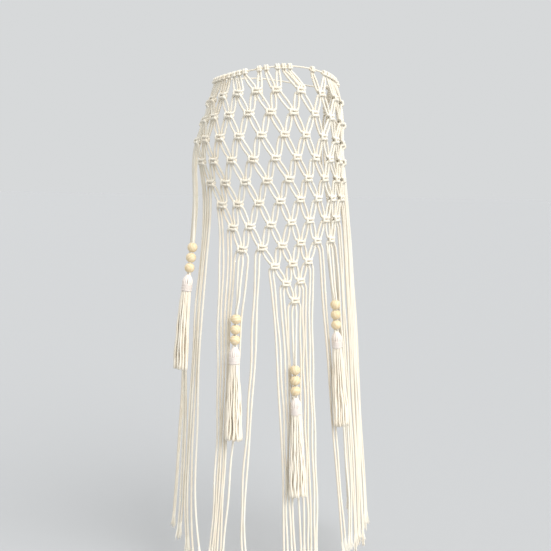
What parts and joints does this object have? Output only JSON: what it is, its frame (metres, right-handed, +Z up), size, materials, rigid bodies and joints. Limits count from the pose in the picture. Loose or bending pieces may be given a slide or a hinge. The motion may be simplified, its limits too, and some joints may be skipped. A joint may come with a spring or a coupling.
{
  "type": "knotted cord waist sash",
  "caption": "Knotted cotton cord waist sash in its worn form: open diamond net with a pointed lower edge, long fringe, and drops of wooden beads and tassels.",
  "frame": {"origin": "middle of the ring that the waist cord makes, level with the cord at the front", "axes": "+Z up, the front of the garment faces -Y, the wearer's left is +X"},
  "size_m": [0.4449, 0.2894, 0.9977],
  "materials": {
    "cotton_cord": "matt twisted cotton cord, cream",
    "tassel_cotton": "matt combed cotton strands, warm off-white",
    "beech_bead": "sanded pale wood, unvarnished"
  },
  "bodies": {
    "root": {"waist_cord": "cotton_cord", "tie_knot": "cotton_cord", "net_right": "cotton_cord", "net_left": "cotton_cord", "fringe_right_row1": "cotton_cord", "fringe_right_row2": "cotton_cord", "fringe_right_row3": "cotton_cord", "fringe_right_row4": "cotton_cord", "fringe_right_row5": "cotton_cord", "fringe_right_row6": "cotton_cord", "fringe_right_row7": "cotton_cord", "fringe_right_row8_point": "cotton_cord", "fringe_right_row8": "cotton_cord", "fringe_right_row9": "cotton_cord", "fringe_right_row10": "cotton_cord", "fringe_left_row1": "cotton_cord", "fringe_left_row2": "cotton_cord", "fringe_left_row3": "cotton_cord", "fringe_left_row4": "cotton_cord", "fringe_left_row5": "cotton_cord", "fringe_left_row6": "cotton_cord", "fringe_left_row7": "cotton_cord", "fringe_left_row8_point": "cotton_cord", "fringe_left_row8": "cotton_cord", "fringe_left_row9": "cotton_cord", "fringe_left_row10": "cotton_cord", "fringe_point": "cotton_cord", "bead_right_side_1": "beech_bead", "bead_right_side_2": "beech_bead", "bead_right_side_3": "beech_bead", "tassel_right_side": "tassel_cotton", "bead_right_front_1": "beech_bead", "bead_right_front_2": "beech_bead", "bead_right_front_3": "beech_bead", "tassel_right_front": "tassel_cotton", "bead_centre_1": "beech_bead", "bead_centre_2": "beech_bead", "bead_centre_3": "beech_bead", "tassel_centre": "tassel_cotton", "bead_left_front_1": "beech_bead", "bead_left_front_2": "beech_bead", "bead_left_front_3": "beech_bead", "tassel_left_front": "tassel_cotton"}
  },
  "joints": []
}
